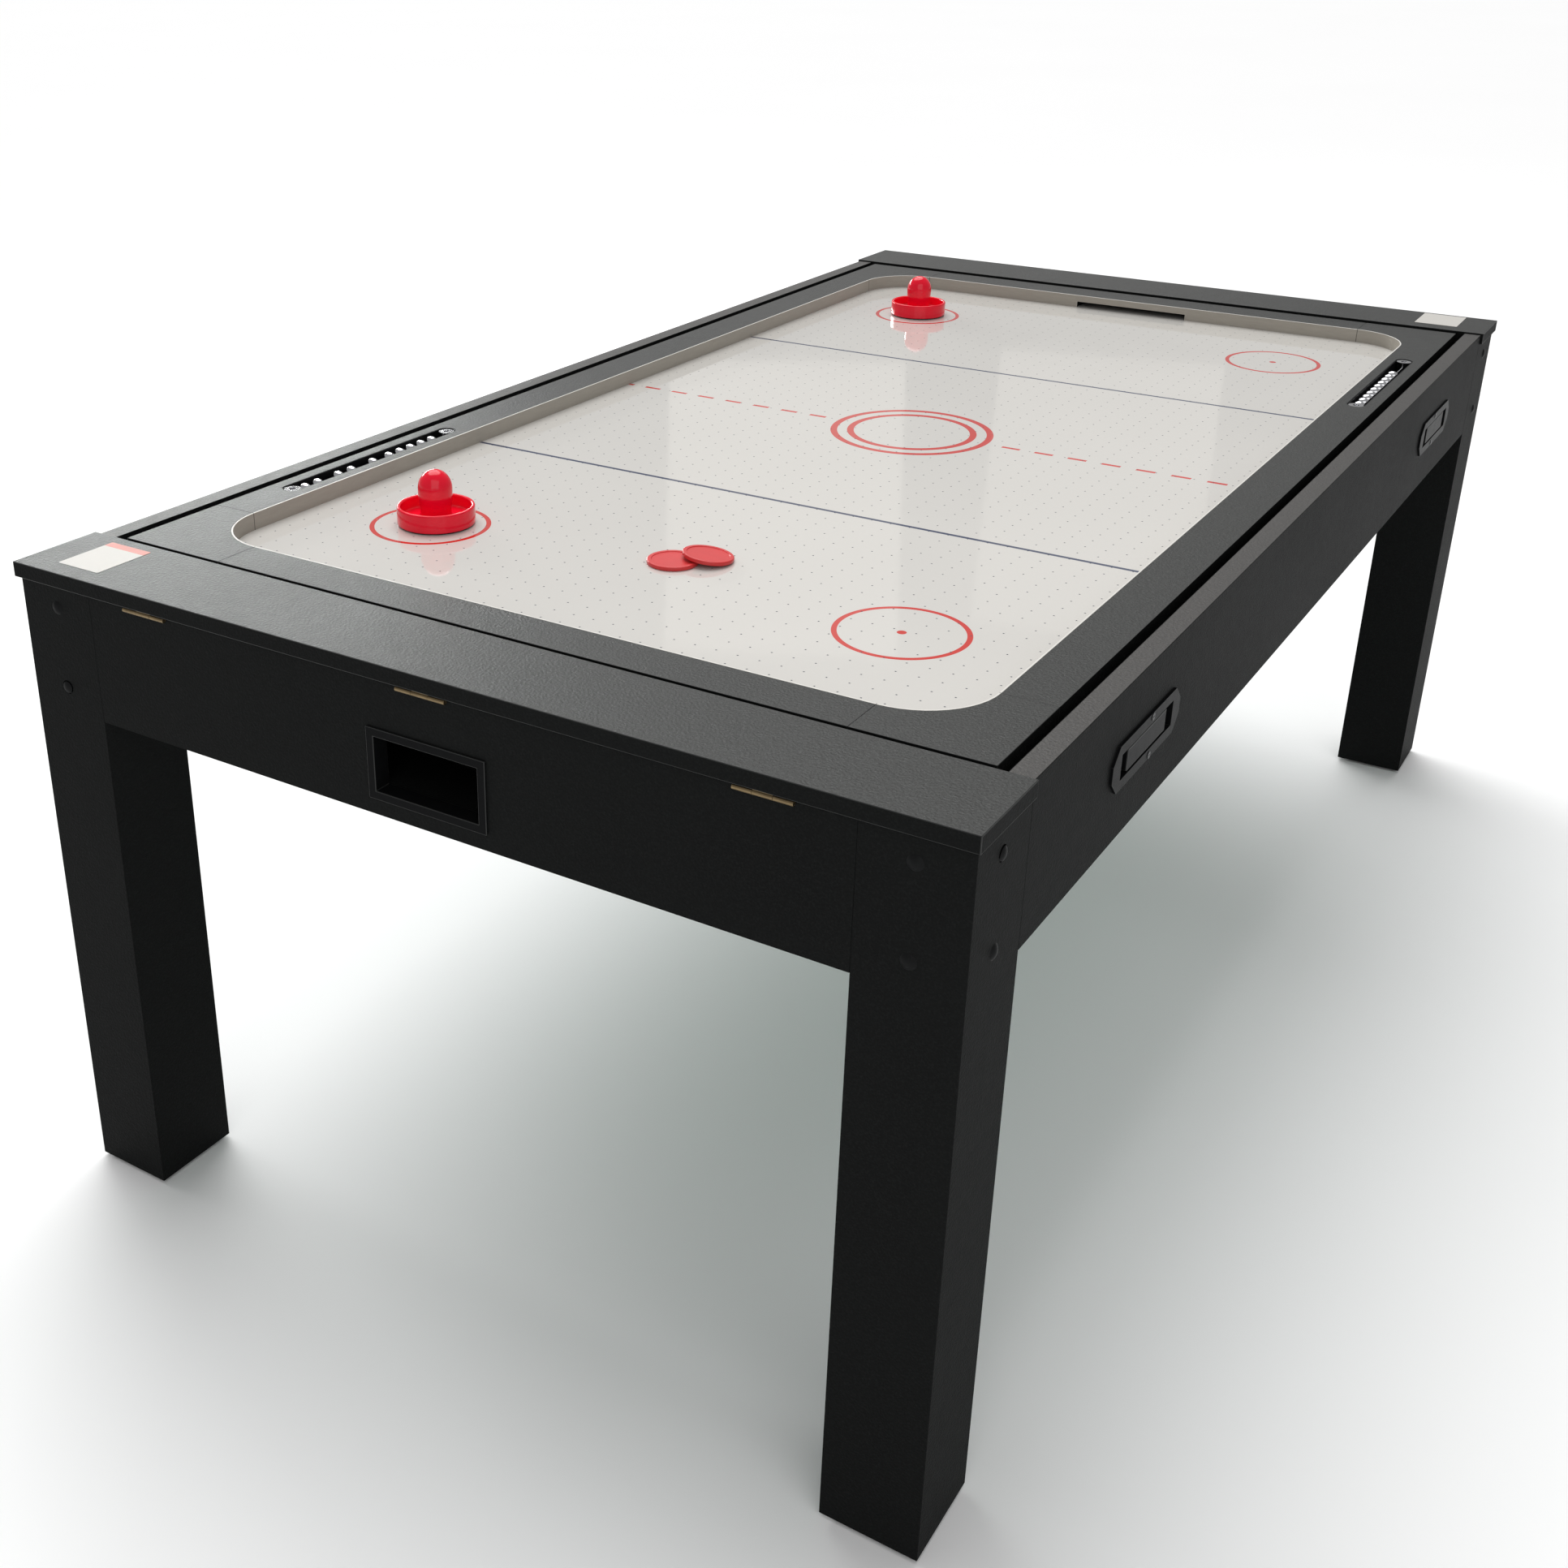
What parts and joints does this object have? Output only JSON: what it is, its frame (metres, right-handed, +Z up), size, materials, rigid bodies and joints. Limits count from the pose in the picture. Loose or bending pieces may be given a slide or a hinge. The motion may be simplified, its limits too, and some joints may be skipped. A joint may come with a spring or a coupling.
{
  "type": "air hockey table",
  "caption": "Air hockey table on box legs, with a bed that turns over to a pool side, hinged end flaps, side latches, bead scorers, mallets and pucks.",
  "frame": {"origin": "on the floor under the middle of the table", "axes": "+X along the table's length towards the far end, +Y towards the left side, +Z up"},
  "size_m": [2.164, 1.144, 0.862],
  "materials": {
    "laminate": "fine-textured black laminate on board",
    "raw_board": "raw board",
    "black_plastic": "moulded black plastic",
    "playfield": "polished white laminate with printed lines and air holes",
    "liner": "warm grey edge strip",
    "brass": "dull brass",
    "steel": "zinc plated steel",
    "chrome": "bright chrome",
    "red_plastic": "glossy red plastic",
    "puck_plastic": "red plastic, slightly scuffed",
    "cloth": "green napped cloth",
    "cushion": "cloth-covered rubber",
    "switch_plastic": "red rocker plastic"
  },
  "bodies": {
    "frame": {"leg_near_left": "laminate", "leg_near_right": "laminate", "leg_far_left": "laminate", "leg_far_right": "laminate", "end_apron_near": "laminate", "end_apron_far": "laminate", "side_panel_left": "laminate", "side_panel_right": "laminate", "end_bulkheads": "laminate", "return_trays": "laminate", "return_windows": "black_plastic", "latch_plates": "black_plastic", "bolt_caps": "black_plastic", "power_inlet": "black_plastic", "frame_screws": "steel", "hinge_leaves_fixed": "brass", "hinge_pins": "brass", "pivot_bushes": "brass"},
    "power_switch": {"power_switch": "switch_plastic"},
    "foot_near_left": {"foot_near_left": "black_plastic"},
    "foot_near_right": {"foot_near_right": "black_plastic"},
    "foot_far_left": {"foot_far_left": "black_plastic"},
    "foot_far_right": {"foot_far_right": "black_plastic"},
    "flap_near": {"flap_near": "laminate", "hinge_leaves_near": "brass"},
    "flap_far": {"flap_far": "laminate", "hinge_leaves_far": "brass"},
    "latch_near_left": {"latch_near_left": "black_plastic"},
    "latch_near_right": {"latch_near_right": "black_plastic"},
    "latch_far_left": {"latch_far_left": "black_plastic"},
    "latch_far_right": {"latch_far_right": "black_plastic"},
    "bed": {"bed_boards": "laminate", "long_rails": "laminate", "end_rails": "laminate", "corner_rails": "laminate", "rail_liners": "liner", "playfield": "playfield", "air_box_ribs": "raw_board", "blower_housing": "black_plastic", "blower_motor": "steel", "blower_lead": "black_plastic", "pool_slab": "raw_board", "pool_cloth": "cloth", "pool_rails": "laminate", "pool_cushions": "cushion", "pool_pockets": "black_plastic", "pivot_pins": "steel", "latch_strikes": "steel", "scorer_trays": "black_plastic", "scorer_rods": "steel"},
    "blower_impeller": {"blower_impeller": "black_plastic"},
    "mallet_near": {"mallet_near": "red_plastic"},
    "mallet_far": {"mallet_far": "red_plastic"},
    "puck_flat": {"puck_flat": "puck_plastic"},
    "puck_leaning": {"puck_leaning": "puck_plastic"},
    "beads_left_a": {"beads_left_a": "chrome"},
    "beads_left_b": {"beads_left_b": "chrome"},
    "beads_left_c": {"beads_left_c": "chrome"},
    "beads_left_d": {"beads_left_d": "chrome"},
    "beads_right": {"beads_right": "chrome"}
  },
  "joints": [
    {"name": "bed_turn", "type": "hinge", "parent": "frame", "child": "bed", "pos_m": [0, 0, 0.722], "axis": [1, 0, 0], "range_deg": [0, 180]},
    {"name": "flap_near_lift", "type": "hinge", "parent": "frame", "child": "flap_near", "pos_m": [-1.079, 0, 0.7864], "axis": [0, -1, 0], "range_deg": [0, 170]},
    {"name": "flap_far_lift", "type": "hinge", "parent": "frame", "child": "flap_far", "pos_m": [1.079, 0, 0.7864], "axis": [0, 1, 0], "range_deg": [0, 170]},
    {"name": "latch_near_left_push", "type": "slide", "parent": "frame", "child": "latch_near_left", "axis": [0, -1, 0], "range_m": [0, 0.016]},
    {"name": "latch_near_right_push", "type": "slide", "parent": "frame", "child": "latch_near_right", "axis": [0, 1, 0], "range_m": [0, 0.016]},
    {"name": "latch_far_left_push", "type": "slide", "parent": "frame", "child": "latch_far_left", "axis": [0, -1, 0], "range_m": [0, 0.016]},
    {"name": "latch_far_right_push", "type": "slide", "parent": "frame", "child": "latch_far_right", "axis": [0, 1, 0], "range_m": [0, 0.016]},
    {"name": "foot_near_left_screw", "type": "slide", "parent": "frame", "child": "foot_near_left", "axis": [0, 0, -1], "range_m": [0, 0.012]},
    {"name": "foot_near_right_screw", "type": "slide", "parent": "frame", "child": "foot_near_right", "axis": [0, 0, -1], "range_m": [0, 0.012]},
    {"name": "foot_far_left_screw", "type": "slide", "parent": "frame", "child": "foot_far_left", "axis": [0, 0, -1], "range_m": [0, 0.012]},
    {"name": "foot_far_right_screw", "type": "slide", "parent": "frame", "child": "foot_far_right", "axis": [0, 0, -1], "range_m": [0, 0.012]},
    {"name": "switch_rock", "type": "hinge", "parent": "frame", "child": "power_switch", "pos_m": [1.073, -0.287, 0.712], "axis": [0, 1, 0], "range_deg": [0, 14]},
    {"name": "impeller_spin", "type": "hinge", "parent": "bed", "child": "blower_impeller", "pos_m": [0, 0, 0.73], "axis": [0, 0, 1], "continuous": true},
    {"name": "mallet_near_slide", "type": "slide", "parent": "bed", "child": "mallet_near", "axis": [1, 0, 0], "range_m": [-0.15, 0.6]},
    {"name": "mallet_far_slide", "type": "slide", "parent": "bed", "child": "mallet_far", "axis": [1, 0, 0], "range_m": [-0.6, 0.15]},
    {"name": "puck_flat_slide", "type": "slide", "parent": "bed", "child": "puck_flat", "axis": [1, 0, 0], "range_m": [-0.2, 0]},
    {"name": "puck_leaning_slide", "type": "slide", "parent": "bed", "child": "puck_leaning", "axis": [1, 0, 0], "range_m": [0, 0.6]},
    {"name": "beads_left_a_slide", "type": "slide", "parent": "bed", "child": "beads_left_a", "axis": [1, 0, 0], "range_m": [0, 0.016]},
    {"name": "beads_left_b_slide", "type": "slide", "parent": "bed", "child": "beads_left_b", "axis": [1, 0, 0], "range_m": [-0.016, 0.02]},
    {"name": "beads_left_c_slide", "type": "slide", "parent": "bed", "child": "beads_left_c", "axis": [1, 0, 0], "range_m": [-0.02, 0.01]},
    {"name": "beads_left_d_slide", "type": "slide", "parent": "bed", "child": "beads_left_d", "axis": [1, 0, 0], "range_m": [-0.01, 0.011]},
    {"name": "beads_right_slide", "type": "slide", "parent": "bed", "child": "beads_right", "axis": [1, 0, 0], "range_m": [0, 0.052]}
  ]
}
